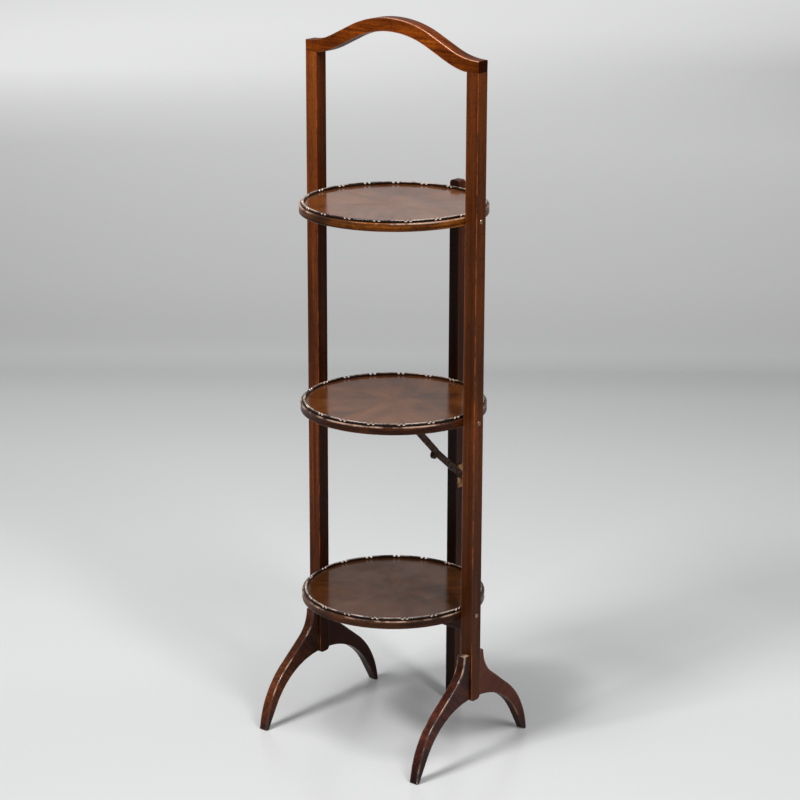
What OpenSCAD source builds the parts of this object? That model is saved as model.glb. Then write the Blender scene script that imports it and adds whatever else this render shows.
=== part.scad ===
// Folding cake stand: three round gallery trays between two uprights, tied at the back by a
// hanging bar, so that all three swing upright together when the knuckle of the stay is pushed in.
// X runs along the arch rail, Y from front to rear, Z up. The origin lies on the floor.

/* [Trays] */
// Diameter of each tray over its edge band
tray_d = 240; // [200:1:300]
// Height of the lowest tray's rim above the floor
low_rim_z = 204.6; // [195:0.1:230]
// Height from one tray's rim to the next
tray_pitch = 258.7; // [250:0.1:330]
// Height of a tray from its underside to the top of its lip
tray_h = 14; // [12:0.1:18]
// Height of the edge band
band_h = 10.4; // [9:0.1:11]
// Thickness of the edge band
band_t = 3; // [2:0.1:4]
// Depth of the tray's floor below the top of its lip
floor_drop = 4; // [3:0.1:5]
// Thickness of the veneer leaves
veneer_t = 0.8; // [0.5:0.1:1.2]
// Number of veneer leaves that meet at the tray's centre
veneer_leaves = 8; // [6:2:12]
// Width of the ledge between the band's face and the lip
ledge_w = 3.5; // [3:0.1:5]
// Thickness of the lip
lip_t = 3; // [2:0.1:4]
// Number of notched clusters round the lip
lip_clusters = 19; // [12:1:24]
// Radius of each scooped notch, and so its depth
notch_r = 1.8; // [1:0.1:2.4]
// Width of the bead left between the two notches of a cluster
bead_w = 2.4; // [1.5:0.1:4]
// Depth of a tray's pivot below the top of its lip
pivot_drop = 7.8; // [7.5:0.1:10]

/* [Uprights and rails] */
// Width and depth of each upright
post_w = 18.4; // [15:0.1:22]
// Running gap between a tray and an upright
side_gap = 0.4; // [0.4:0.1:1.5]
// Height of the joint between the uprights and the arch rail
post_top = 897.5; // [890:0.5:1100]
// Height of the rounded lower ends of the uprights
post_bottom = 79.5; // [74:0.5:82]
// Radius of the rounded lower ends of the uprights
nose_r = 5.5; // [3:0.5:7]
// Width of the eased edges of uprights and rear bar
arris = 0.7; // [0.4:0.1:1.2]
// Height of the arch rail's crown above its joint with the uprights
arch_rise = 53.9; // [45:0.1:70]
// Height of the arch rail's square ends
arch_end_h = 14.5; // [12:0.1:18]
// Thickness of the arch rail
arch_t = 17; // [14:0.1:20]
// Radius of the crown's upper edge
crown_r = 150; // [120:1:170]
// Radius of the upper edge where the rail flattens to its ends
sweep_r = 100; // [70:1:110]
// Height of the stretcher's lower edge
stretcher_z = 166; // [160:0.5:170]
// Height of the stretcher
stretcher_h = 18; // [14:0.5:19]
// Thickness of the stretcher
stretcher_t = 6.9; // [5:0.1:10]
// Distance from a stretcher end to the outer face of its upright
stretcher_inset = 6.2; // [4:0.1:8]

/* [Legs] */
// Thickness of each leg
leg_t = 12.8; // [10:0.1:15]
// Reach of a foot from the uprights' centre plane
leg_reach = 116.5; // [100:0.1:119]
// Height of the legs' flat tops
leg_top = 144; // [135:0.5:155]
// Thickness of a leg's flat top
leg_top_t = 10.8; // [6:0.1:13]
// Radius of the hollow below a leg's top
leg_hollow_r = 46; // [35:1:55]
// Radius of the leg's outer sweep
leg_sweep_r = 114; // [98:1:132]
// Depth below the floor of the outer sweep's centre
sweep_drop = 10; // [2:0.1:12]
// Height of the underside where a leg meets its upright
leg_under_z = 82.4; // [82.2:0.1:90]
// Width of each foot at the floor
foot_w = 5; // [4:0.1:7]
// Angle below the level at which the leg's underside leaves the upright
leg_under_dip = 2.2; // [0.5:0.1:3]
// Angle below the level of the leg's underside near the foot
foot_angle = 60.5; // [57:0.5:63]
// Width of the worn corners of each foot
toe_wear = 1.1; // [0.5:0.1:1.5]
// Radius of the dowels
dowel_r = 3; // [2:0.1:4]
// Length of the dowels
dowel_l = 16; // [12:1:20]

/* [Rear bar] */
// Width of the rear bar
bar_w = 15.6; // [13:0.1:20]
// Depth of the rear bar
bar_d = 13.6; // [10:0.1:16]
// Gap between the trays and the rear bar
bar_gap = 2.4; // [2:0.1:6]
// Height of the bar's top above the upper tray's rim
bar_above = 6; // [2:0.5:12]
// Gap between the bar's lower end and the floor
bar_foot_gap = 2; // [1:0.5:8]
// Radius of the corners at the bar's top
bar_corner_r = 4; // [2:0.1:6]
// Gap between the folded bar and the stretcher
fold_clear = 0.8; // [0.6:0.1:3]
// Thickness of the bearers under the trays
bearer_t = 12; // [10:0.1:14]
// Distance of a bearer's front end from the tray's pivot line
bearer_start = 42; // [40:1:60]
// Depth of a bearer at its front end
bearer_tip = 6; // [5:0.1:8]

/* [Stay] */
// Width of the stay's links
link_w = 9.4; // [8:0.1:10]
// Thickness of the stay's links
link_t = 1.8; // [1.4:0.1:2.4]
// Radius of the round eye at the stay's knuckle
knuckle_r = 5.6; // [5:0.1:6]
// Distance of the knuckle's pivot below the links' middle line
knuckle_set = 4.7; // [3.6:0.1:5.2]
// Length that the two links have beyond the open distance
stay_slack = 0.8; // [0.3:0.1:1.2]
// Depth of the stay's pivot on the bar below the bar's tray pivot
stay_low = 106.1; // [95:0.1:112]
// Distance of the stay's pivot behind the bar's middle
stay_back = 2.4; // [0:0.1:2.6]
// Depth of the stay's pivot on the tray below the tray's pivot
stay_high = 16.5; // [15.5:0.1:18]
// Distance of the stay's pivot on the tray behind the tray's pivot line
stay_fore = 6; // [2:0.1:9]
// Height of the brass plate on the bar
plate_h = 32; // [28:0.5:40]
// Width of the brass plate on the bar
plate_w = 10.8; // [9.5:0.1:11]
// Thickness of the stay's plate and bracket
plate_t = 1.3; // [1:0.1:2]

/* [Screws and fits] */
// Radius of the tray and bar pivots
pivot_r = 2.2; // [1.8:0.1:2.6]
// Radius of the pivot screws' domed heads
pivot_head_r = 3.2; // [3:0.1:4]
// Height of the domed heads
dome_h = 1.6; // [1.2:0.1:2]
// Length of a pivot screw inside its tray
pivot_bite = 22; // [15:1:30]
// Radius of the small wood screws
screw_r = 1.4; // [1.1:0.1:1.6]
// Radius of the small screws' countersunk heads
screw_head_r = 2.6; // [2.3:0.1:2.8]
// Radius of the stay's rivets
rivet_r = 1.6; // [1.3:0.1:1.9]
// Radius of the rivets' heads
rivet_head_r = 2.8; // [2.3:0.1:3]
// Height of the rivets' heads
rivet_head_h = 0.9; // [0.7:0.1:1.2]
// Width of the screws' slots
slot_w = 0.7; // [0.5:0.1:0.9]
// Depth of the screws' slots
slot_depth = 0.5; // [0.3:0.1:0.7]
// Radial running clearance of a pivot in its bore
run_clear = 0.08; // [0.03:0.01:0.1]
// Clearance of a fixed screw or dowel in its hole
set_clear = 0.02; // [0.01:0.01:0.05]
// Gap between faces that slide past each other
face_gap = 0.3; // [0.2:0.05:0.5]
// End play of a link under its rivet's head
pivot_play = 0.15; // [0.1:0.05:0.2]

/* [Hidden] */

// Finishes
mahogany = [0.30, 0.13, 0.07];
warm_mahogany = [0.45, 0.20, 0.09];
dark_mahogany = [0.17, 0.08, 0.05];
aged_brass = [0.55, 0.44, 0.26];
bronze = [0.22, 0.17, 0.13];

// Places that follow from the sizes above
tray_r = tray_d / 2;
lip_r = tray_r - ledge_w;
// Height of the ledge that the lip stands on, and of the veneer's bed
shoulder_z = band_h - tray_h;
bed_z = -floor_drop - veneer_t;
// Angle from X to each tray's first cluster, from the lowest tray up
first_cluster = [13.8, 11.2, 14.9];
inner_x = tray_r + side_gap;
outer_x = inner_x + post_w;
post_x = (inner_x + outer_x) / 2;
rim_top = [for (i = [0 : 2]) low_rim_z + i * tray_pitch];
pivot_z = [for (z = rim_top) z - pivot_drop];
rear_reach = tray_r + bar_gap + bar_d;
frame_y = (max(tray_r, leg_reach) - rear_reach) / 2;
bar_y = tray_r + bar_gap + bar_d / 2;
bar_drop = post_w / 2 + stretcher_t + fold_clear + bar_d / 2;
bar_top = rim_top[2] + bar_above;
under_drop = tray_h - pivot_drop;
bearer_x = -bar_w / 2 - face_gap - bearer_t;
crown_z = post_top + arch_rise;

// Stay pivots as [y, z]: on the bar, on the middle tray, and the same two when folded
stay_p = [bar_y + stay_back, pivot_z[1] - bar_drop - stay_low];
stay_t = [stay_fore, pivot_z[1] - stay_high];
fold_p = [bar_drop + stay_back, pivot_z[1] + bar_y - stay_low];
fold_t = [stay_high, pivot_z[1] + stay_fore];
stay_span = norm(stay_t - stay_p);
stay_sum = stay_span + stay_slack;
// The links lie upright beside each other when folded, so they differ by their pivots' height
stay_diff = fold_p[1] - fold_t[1];
lower_l = (stay_sum - stay_diff) / 2;
upper_l = (stay_sum + stay_diff) / 2;
// The knuckle lies where circles of both lengths cross, on the side of the floor
span_dir = (stay_t - stay_p) / stay_span;
along = (lower_l * lower_l - upper_l * upper_l + stay_span * stay_span) / (2 * stay_span);
below = sqrt(max(0, lower_l * lower_l - along * along));
knuckle = stay_p + along * span_dir + below * [-span_dir[1], span_dir[0]];

// Side-by-side places of the stay's layers along X
plate_x = bar_w / 2;
lower_x = plate_x + plate_t + face_gap;
upper_x = lower_x + link_t + face_gap;
ear_x = upper_x + link_t + face_gap;
round_fn = 48;
tray_fn = 180;
// How far a cutter reaches past the face that it opens
over = 1;

// Points of an arc about c, from angle a to angle b, in n steps
function arc(c, r, a, b, n) = [for (i = [0 : n]) let (t = a + (b - a) * i / n)
    c + r * [cos(t), sin(t)]];

// Slope of the straight line between two arcs that curve opposite ways, where d leads from
// one centre to the other and r is the sum of the radii
function slope_between(d, r, way) = atan2(d[0], d[1]) + way * acos(min(1, r / norm(d)));

// Angle at which the straight line from a point p touches the circle of radius r about c
function touch_angle(c, r, p, way) = atan2(p[1] - c[1], p[0] - c[0]) + way * acos(r / norm(p - c));

// Everything is drawn about the uprights' centre plane and then set about the origin
module at_frame() {
    translate([0, frame_y, 0]) children();
}

// Extrudes an outline drawn in Y and Z by t along X, from x
module along_x(x, t) {
    translate([x, 0, 0]) rotate([90, 0, 90]) linear_extrude(t) children();
}

// Extrudes an outline drawn in X and Z by t along Y, centred on y
module along_y(y, t) {
    translate([0, y + t / 2, 0]) rotate([90, 0, 0]) linear_extrude(t) children();
}

// A cylinder along X from x for a length l, centred on [y, z]
module rod_x(x, l, r, at) {
    translate([x, at[0], at[1]]) rotate([0, 90, 0]) cylinder(h = l, r = r, $fn = round_fn);
}

// A cylinder along Y from y for a length l, centred on [x, z]
module rod_y(y, l, r, at) {
    translate([at[0], y, at[1]]) rotate([-90, 0, 0]) cylinder(h = l, r = r, $fn = round_fn);
}

// Section of a squared bar with eased edges, centred on the origin
module eased_section(w, d) {
    x = w / 2;
    y = d / 2;
    polygon([[x - arris, -y], [x, -y + arris], [x, y - arris], [x - arris, y], [arris - x, y],
        [-x, y - arris], [-x, arris - y], [arris - x, -y]]);
}

// Shank along -X from the origin, with a slotted dome on the +X side
module domed_screw(l, r, head_r) {
    ball_r = (head_r * head_r + dome_h * dome_h) / (2 * dome_h);
    half = asin(head_r / ball_r);
    difference() {
        union() {
            rotate([0, 90, 0]) rotate_extrude($fn = round_fn)
                polygon(concat([[0, 0]], arc([0, dome_h - ball_r], ball_r, 90 - half, 90, 6)));
            rod_x(-l, l + dome_h / 4, r, [0, 0]);
        }
        translate([dome_h - slot_depth, -slot_w / 2, -head_r]) cube([dome_h, slot_w, 2 * head_r]);
    }
}

// Countersunk screw whose flat slotted head looks along +Z from the origin
module flush_screw(l) {
    head_h = screw_head_r - screw_r;
    difference() {
        union() {
            translate([0, 0, -head_h]) cylinder(h = head_h, r1 = screw_r, r2 = screw_head_r,
                $fn = round_fn);
            translate([0, 0, -l]) cylinder(h = l - head_h, r = screw_r, $fn = round_fn);
        }
        translate([-screw_head_r, -slot_w / 2, -slot_depth])
            cube([2 * screw_head_r, slot_w, 2 * slot_depth]);
    }
}

// The hole that a countersunk screw seats in
module flush_hole(l) {
    head_h = screw_head_r - screw_r;
    translate([0, 0, -head_h]) cylinder(h = head_h + set_clear, r1 = screw_r + set_clear,
        r2 = screw_head_r + 2 * set_clear, $fn = round_fn);
    translate([0, 0, -l - set_clear]) cylinder(h = l - head_h + 2 * set_clear,
        r = screw_r + set_clear, $fn = round_fn);
}

// Outline of an upright seen from the side, with its rounded lower end
module post_outline() {
    y = post_w / 2;
    polygon(concat(arc([nose_r - y, post_bottom + nose_r], nose_r, 180, 270, 8),
        arc([y - nose_r, post_bottom + nose_r], nose_r, 270, 360, 8),
        [[y, post_top], [-y, post_top]]));
}

// Heights of a leg's two dowels above its underside at the upright
leg_dowel_rise = [14, 38];
leg_dowel_z = [for (h = leg_dowel_rise) leg_under_z + h];
// How much more of a dowel lies in the leg than in the upright, halved
dowel_shift = 2;
stretcher_screw_z = [stretcher_z + stretcher_h / 4, stretcher_z + 3 * stretcher_h / 4];
stretcher_end = outer_x - stretcher_inset;
stretcher_screw_x = (inner_x + stretcher_end) / 2;
stretcher_bite = 8;
stretcher_screw_l = stretcher_t + stretcher_bite;

// An upright on the side that s names, 1 right or -1 left
module upright(s) {
    color(mahogany) at_frame() difference() {
        intersection() {
            along_x(s * post_x - post_w / 2, post_w) post_outline();
            translate([s * post_x, 0, post_bottom]) linear_extrude(post_top - post_bottom)
                eased_section(post_w, post_w);
        }
        for (z = pivot_z) rod_x(s * post_x - post_w, 2 * post_w, pivot_r + run_clear, [0, z]);
        translate([s * post_x, 0, post_top - dowel_l / 2 - set_clear])
            cylinder(h = dowel_l, r = dowel_r + set_clear, $fn = round_fn);
        for (f = [-1, 1], z = leg_dowel_z)
            rod_y(f * (post_w / 2 + dowel_shift) - dowel_l / 2 - set_clear,
                dowel_l + 2 * set_clear, dowel_r + set_clear, [s * post_x, z]);
        for (z = stretcher_screw_z) stretcher_screw_place(s, z) flush_hole(stretcher_screw_l);
    }
}
module left_upright() {
    upright(-1);
}
module right_upright() {
    upright(1);
}

// The arch rail's edge from left to right, set in from the upper edge by the depth t
function arch_edge(t) = let (end = post_top + arch_end_h,
    d = [outer_x, crown_r + sweep_r - (crown_z - end)],
    a = slope_between(d, crown_r + sweep_r, -1))
    concat(arc([-outer_x, end + sweep_r], sweep_r + t, 270, 270 + a, 12),
        arc([0, crown_z - crown_r], crown_r - t, 90 + a, 90 - a, 24),
        arc([outer_x, end + sweep_r], sweep_r + t, 270 - a, 270, 12));
function backwards(p) = [for (i = [len(p) - 1 : -1 : 0]) p[i]];

// The serpentine top rail, cut level where it sits on the uprights
module arch_rail() {
    color(warm_mahogany) at_frame() difference() {
        intersection() {
            along_y(0, post_w) polygon(concat(arch_edge(0), backwards(arch_edge(arch_t))));
            translate([-outer_x, -post_w, post_top]) cube([2 * outer_x, 2 * post_w, 2 * arch_rise]);
        }
        for (s = [-1, 1]) translate([s * post_x, 0, post_top - dowel_l / 2])
            cylinder(h = dowel_l + set_clear, r = dowel_r + set_clear, $fn = round_fn);
    }
}
module arch_dowels() {
    color(warm_mahogany) at_frame() for (s = [-1, 1])
        translate([s * post_x, 0, post_top - dowel_l / 2])
            cylinder(h = dowel_l, r = dowel_r, $fn = round_fn);
}

module stretcher_screw_place(s, z) {
    translate([s * stretcher_screw_x, post_w / 2 + stretcher_t, z]) rotate([-90, 0, 0]) children();
}
// The flat rail lapped on the uprights' rear faces, behind the lowest tray's swing
module stretcher() {
    color(dark_mahogany) at_frame() difference() {
        translate([-stretcher_end, post_w / 2, stretcher_z])
            cube([2 * stretcher_end, stretcher_t, stretcher_h]);
        for (s = [-1, 1], z = stretcher_screw_z)
            stretcher_screw_place(s, z) flush_hole(stretcher_screw_l);
    }
}
module stretcher_screws() {
    color(aged_brass) at_frame() for (s = [-1, 1], z = stretcher_screw_z)
        stretcher_screw_place(s, z) flush_screw(stretcher_screw_l);
}

// Outline of a leg: hollow and sweep outside, one arc and a straight run inside
module leg_outline() {
    y0 = post_w / 2;
    hollow_c = [y0 + leg_top_t + leg_hollow_r, leg_top];
    sweep_c = [leg_reach - leg_sweep_r, -sweep_drop];
    a = slope_between(hollow_c - sweep_c, leg_hollow_r + leg_sweep_r, 1);
    toe = asin((sweep_drop + toe_wear) / leg_sweep_r);
    toe_y = sweep_c[0] + leg_sweep_r * cos(toe);
    // The underside's arc leaves the upright at its dip and ends along the straight run to the heel
    heel_y = toe_y - foot_w;
    under_r = (sin(foot_angle) * (heel_y - y0) - cos(foot_angle) * leg_under_z)
        / (1 - cos(foot_angle - leg_under_dip));
    under_c = [y0 - under_r * sin(leg_under_dip), leg_under_z - under_r * cos(leg_under_dip)];
    polygon(concat([[y0, leg_top]],
        arc(hollow_c, leg_hollow_r, 180, 270 - a, 12),
        arc(sweep_c, leg_sweep_r, 90 - a, toe, 14),
        [[toe_y - toe_wear, 0], [heel_y + toe_wear / 2, 0],
            [heel_y - toe_wear / 2, toe_wear]],
        arc(under_c, under_r, 90 - foot_angle, 90 - leg_under_dip, 14)));
}
// A leg: sx is 1 right or -1 left, sy is 1 rear or -1 front
module leg(sx, sy) {
    color(dark_mahogany) at_frame() difference() {
        scale([1, sy, 1]) along_x(sx * post_x - leg_t / 2, leg_t) leg_outline();
        for (z = leg_dowel_z) rod_y(sy * (post_w / 2 + dowel_shift) - dowel_l / 2 - set_clear,
            dowel_l + 2 * set_clear, dowel_r + set_clear, [sx * post_x, z]);
    }
}
module left_front_leg() {
    leg(-1, -1);
}
module left_rear_leg() {
    leg(-1, 1);
}
module right_front_leg() {
    leg(1, -1);
}
module right_rear_leg() {
    leg(1, 1);
}
module leg_dowels() {
    color(warm_mahogany) at_frame() for (sx = [-1, 1], sy = [-1, 1], z = leg_dowel_z)
        rod_y(sy * (post_w / 2 + dowel_shift) - dowel_l / 2, dowel_l, dowel_r, [sx * post_x, z]);
}

// Sets a tray's piece, drawn with the lip's top at z 0, at tray i counted from the lowest
module at_tray(i) {
    at_frame() translate([0, 0, rim_top[i]]) children();
}

// Bores for the two pivot screws in a tray's edge
module pivot_holes() {
    for (s = [-1, 1]) rod_x(s * (tray_r - pivot_bite / 2) - pivot_bite / 2 - set_clear,
        pivot_bite + 2 * set_clear, pivot_r + set_clear, [0, -pivot_drop]);
}

// The round board, which takes the band outside and the lip on its margin, and is hollowed a
// little inside the lip to bed the veneer
module board(i) {
    color(dark_mahogany) at_tray(i) difference() {
        translate([0, 0, -tray_h]) cylinder(h = band_h, r = tray_r - band_t, $fn = tray_fn);
        translate([0, 0, bed_z]) cylinder(h = tray_h, r = lip_r - lip_t, $fn = tray_fn);
        pivot_holes();
        bearer_screw_places() flush_hole(bearer_screw_l);
        if (i == 1) bracket_screw_places() flush_hole(bracket_screw_l);
    }
}

// The bent edge band, with its upper outer edge rounded to a bead
module band(i) {
    bead_r = 1.2;
    ease = 0.5;
    color(mahogany) at_tray(i) difference() {
        rotate_extrude($fn = tray_fn) polygon(concat(
            [[tray_r - band_t, shoulder_z], [tray_r - band_t, -tray_h], [tray_r - ease, -tray_h],
                [tray_r, ease - tray_h]],
            arc([tray_r - bead_r, shoulder_z - bead_r], bead_r, 0, 90, 4)));
        pivot_holes();
    }
}

// The raised gallery lip, cut by pairs of scooped notches that leave a small bead between them
module lip(i) {
    crest = lip_t / 2;
    step = notch_r + bead_w / 2;
    color(mahogany) at_tray(i) difference() {
        rotate_extrude($fn = tray_fn) polygon(concat(
            [[lip_r - lip_t, shoulder_z], [lip_r, shoulder_z]],
            arc([lip_r - crest, -crest], crest, 0, 180, 6)));
        for (k = [0 : lip_clusters - 1], s = [-1, 1])
            rotate(first_cluster[i] + k * 360 / lip_clusters)
                rod_x(lip_r - 2 * lip_t, 3 * lip_t, notch_r, [s * step, 0]);
    }
}

// The floor's veneer, laid as equal leaves that meet at the centre
module veneer(i) {
    leaf_r = lip_r - lip_t - set_clear;
    half = 180 / veneer_leaves;
    color(warm_mahogany) at_tray(i) translate([0, 0, bed_z])
        for (k = [0 : veneer_leaves - 1]) rotate((2 * k + 1) * half)
            linear_extrude(veneer_t) intersection() {
                circle(r = leaf_r, $fn = tray_fn);
                polygon([[0, 0], 2 * leaf_r * [cos(half), -sin(half)],
                    2 * leaf_r * [cos(half), sin(half)]]);
            }
}

// Outline of a bearer in Y and Z about the tray's pivot, ending round about the bar's pivot
bearer_end_r = bar_d / 2;
bearer_set_in = 1;
module bearer_outline() {
    end = [bar_y, -bar_drop];
    tip = [bearer_start, -under_drop - bearer_tip];
    rim = [sqrt(tray_r * tray_r - bearer_x * bearer_x) - bearer_set_in, -under_drop];
    polygon(concat([[bearer_start, -under_drop], rim],
        arc(end, bearer_end_r, touch_angle(end, bearer_end_r, rim, -1),
            touch_angle(end, bearer_end_r, tip, 1) - 360, 14), [tip]));
}
// Distances of the bearer's two screws from its front end and from the tray's rim
bearer_screw_set = [10, 28];
bearer_screw_y = [bearer_start + bearer_screw_set[0], tray_r - bearer_screw_set[1]];
bearer_screw_l = 13;
module bearer_screw_places() {
    for (y = bearer_screw_y) translate([bearer_x + bearer_t / 2, y, -tray_h - bearer_seat])
        rotate([180, 0, 0]) children();
}
// Thickness of wood left under each screw head after it is counterbored
bearer_seat = 5;
module bearer(i) {
    color(dark_mahogany) at_tray(i) difference() {
        translate([0, 0, -pivot_drop]) along_x(bearer_x, bearer_t) bearer_outline();
        rod_x(bearer_x - over, bearer_t + 2 * over, pivot_r + run_clear,
            [bar_y, -pivot_drop - bar_drop]);
        bearer_screw_places() {
            flush_hole(bearer_screw_l);
            cylinder(h = bar_drop, r = screw_head_r + face_gap, $fn = round_fn);
        }
    }
}
module bearer_screws(i) {
    color(aged_brass) at_tray(i) bearer_screw_places() flush_screw(bearer_screw_l);
}

// The two screws that a tray turns on, fixed in the tray's edge
module pivot_screws(i) {
    l = outer_x + face_gap - (tray_r - pivot_bite);
    color(aged_brass) at_tray(i) for (s = [0, 180]) rotate(s)
        translate([outer_x + face_gap, 0, -pivot_drop]) domed_screw(l, pivot_r, pivot_head_r);
}

module top_board() {
    board(2);
}
module top_band() {
    band(2);
}
module top_lip() {
    lip(2);
}
module top_veneer() {
    veneer(2);
}
module top_bearer() {
    bearer(2);
}
module top_bearer_screws() {
    bearer_screws(2);
}
module top_pivot_screws() {
    pivot_screws(2);
}
module middle_board() {
    board(1);
}
module middle_band() {
    band(1);
}
module middle_lip() {
    lip(1);
}
module middle_veneer() {
    veneer(1);
}
module middle_bearer() {
    bearer(1);
}
module middle_bearer_screws() {
    bearer_screws(1);
}
module middle_pivot_screws() {
    pivot_screws(1);
}
module bottom_board() {
    board(0);
}
module bottom_band() {
    band(0);
}
module bottom_lip() {
    lip(0);
}
module bottom_veneer() {
    veneer(0);
}
module bottom_bearer() {
    bearer(0);
}
module bottom_bearer_screws() {
    bearer_screws(0);
}
module bottom_pivot_screws() {
    pivot_screws(0);
}

// Depth of the bar's pivot screws in the bar, which leaves a wall of wood at their ends
bar_wall = 3;
bar_bite = bar_w - bar_wall;
// The bar that hangs from all three bearers and keeps the trays parallel
module rear_bar() {
    x = bar_w / 2;
    color(mahogany) at_frame() difference() {
        intersection() {
            along_y(bar_y, bar_d) polygon(concat([[-x, bar_foot_gap], [x, bar_foot_gap]],
                arc([x - bar_corner_r, bar_top - bar_corner_r], bar_corner_r, 0, 90, 6),
                arc([bar_corner_r - x, bar_top - bar_corner_r], bar_corner_r, 90, 180, 6)));
            translate([0, bar_y, 0]) linear_extrude(bar_top) eased_section(bar_w, bar_d);
        }
        for (z = pivot_z) rod_x(-x - over, bar_bite + over + set_clear, pivot_r + set_clear,
            [bar_y, z - bar_drop]);
        plate_screw_places() flush_hole(plate_screw_l);
        rod_x(x - rivet_bite - set_clear, rivet_bite + over, rivet_r + set_clear, stay_p);
    }
}
module bar_pivot_screws() {
    l = bar_bite + bearer_t + 2 * face_gap;
    color(aged_brass) at_frame() for (z = pivot_z)
        translate([bearer_x - face_gap, bar_y, z - bar_drop]) rotate(180)
            domed_screw(l, pivot_r, pivot_head_r);
}

// The brass plate that carries the stay's lower pivot
plate_screw_l = 8;
rivet_bite = 5;
module plate_screw_places() {
    for (s = [-1, 1]) translate([plate_x + plate_t, bar_y, stay_p[1] + s * plate_h / 3])
        rotate([0, 90, 0]) children();
}
module stay_plate() {
    w = plate_w / 2;
    h = plate_h / 2;
    corner = 1.5;
    color(aged_brass) at_frame() difference() {
        along_x(plate_x, plate_t) translate([bar_y, stay_p[1]])
            polygon([[corner - w, -h], [w - corner, -h], [w, corner - h], [w, h - corner],
                [w - corner, h], [corner - w, h], [-w, h - corner], [-w, corner - h]]);
        plate_screw_places() flush_hole(plate_screw_l);
        rod_x(plate_x - over, plate_t + 2 * over, rivet_r + set_clear, stay_p);
    }
}
module stay_plate_screws() {
    color(aged_brass) at_frame() plate_screw_places() flush_screw(plate_screw_l);
}

// The rivet that the lower link turns on, fixed in the bar and the plate
module bar_rivet() {
    end_x = lower_x + link_t + pivot_play;
    color(aged_brass) at_frame() {
        rod_x(plate_x - rivet_bite, end_x - plate_x + rivet_bite, rivet_r, stay_p);
        rod_x(end_x, rivet_head_h, rivet_head_r, stay_p);
    }
}

// Outline of a link from the pivot e to the pivot k: a flat bar that passes the knuckle at the
// distance knuckle_set, on the side given, and widens into a round eye about it
module link_outline(e, k, side) {
    half = link_w / 2;
    reach = norm(k - e);
    turn = asin(knuckle_set / reach);
    l = reach * cos(turn);
    // Where the bar's round end runs into the eye, and where the eye runs into the lower edge
    end_meets = acos((knuckle_set ^ 2 + half ^ 2 - knuckle_r ^ 2) / (2 * knuckle_set * half));
    eye_meets = acos((knuckle_set ^ 2 + knuckle_r ^ 2 - half ^ 2) / (2 * knuckle_set * knuckle_r));
    edge_meets = asin((knuckle_set - half) / knuckle_r);
    translate(e) rotate(atan2(k[1] - e[1], k[0] - e[0]) + side * turn) scale([1, side])
        polygon(concat(arc([0, 0], half, 270, 90, 12), arc([l, 0], half, 90, end_meets - 90, 8),
            arc([l, -knuckle_set], knuckle_r, 90 - eye_meets, -180 - edge_meets, 16)));
}
module lower_link() {
    color(bronze) at_frame() difference() {
        along_x(lower_x, link_t) link_outline(stay_p, knuckle, -1);
        rod_x(lower_x - over, link_t + 2 * over, rivet_r + run_clear, stay_p);
        rod_x(lower_x - over, link_t + 2 * over, rivet_r + set_clear, knuckle);
    }
}
module upper_link() {
    color(bronze) at_frame() difference() {
        along_x(upper_x, link_t) link_outline(stay_t, knuckle, 1);
        rod_x(upper_x - over, link_t + 2 * over, rivet_r + run_clear, stay_t);
        rod_x(upper_x - over, link_t + 2 * over, rivet_r + set_clear, knuckle);
    }
}

// The knuckle's rivet in its two halves, one fixed in each link
module lower_knuckle_rivet() {
    color(bronze) at_frame() {
        rod_x(lower_x, link_t, rivet_r, knuckle);
        rod_x(lower_x - rivet_head_h, rivet_head_h, rivet_head_r, knuckle);
    }
}
module upper_knuckle_rivet() {
    color(bronze) at_frame() {
        rod_x(upper_x, link_t, rivet_r, knuckle);
        rod_x(upper_x + link_t, rivet_head_h, rivet_head_r, knuckle);
    }
}

// The small bracket under the middle tray, with an ear beside the upper link
bracket_w = 13;
bracket_l = 16;
bracket_screw_l = 7;
bracket_depth = stay_high - under_drop;
module bracket_screw_places() {
    for (s = [-1, 1])
        translate([ear_x + (bracket_w + plate_t) / 2, stay_fore + s * bracket_l / 4,
            -tray_h - plate_t])
            rotate([180, 0, 0]) children();
}
module stay_bracket() {
    ear_r = 4.6;
    color(aged_brass) at_tray(1) difference() {
        union() {
            translate([ear_x, stay_fore - bracket_l / 2, -tray_h - plate_t])
                cube([bracket_w, bracket_l, plate_t]);
            translate([0, stay_fore, -tray_h - bracket_depth]) along_x(ear_x, plate_t)
                polygon(concat([[ear_r, bracket_depth], [-ear_r, bracket_depth]],
                    arc([0, 0], ear_r, 180, 360, 16)));
        }
        bracket_screw_places() flush_hole(bracket_screw_l);
        rod_x(ear_x - over, plate_t + 2 * over, rivet_r + set_clear,
            [stay_fore, -tray_h - bracket_depth]);
    }
}
module stay_bracket_screws() {
    color(aged_brass) at_tray(1) bracket_screw_places() flush_screw(bracket_screw_l);
}
// The rivet that the upper link turns on, fixed in the bracket's ear
module bracket_rivet() {
    head_x = upper_x - pivot_play - rivet_head_h;
    color(aged_brass) at_frame() {
        rod_x(head_x, ear_x + plate_t - head_x, rivet_r, stay_t);
        rod_x(head_x, rivet_head_h, rivet_head_r, stay_t);
    }
}

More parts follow.
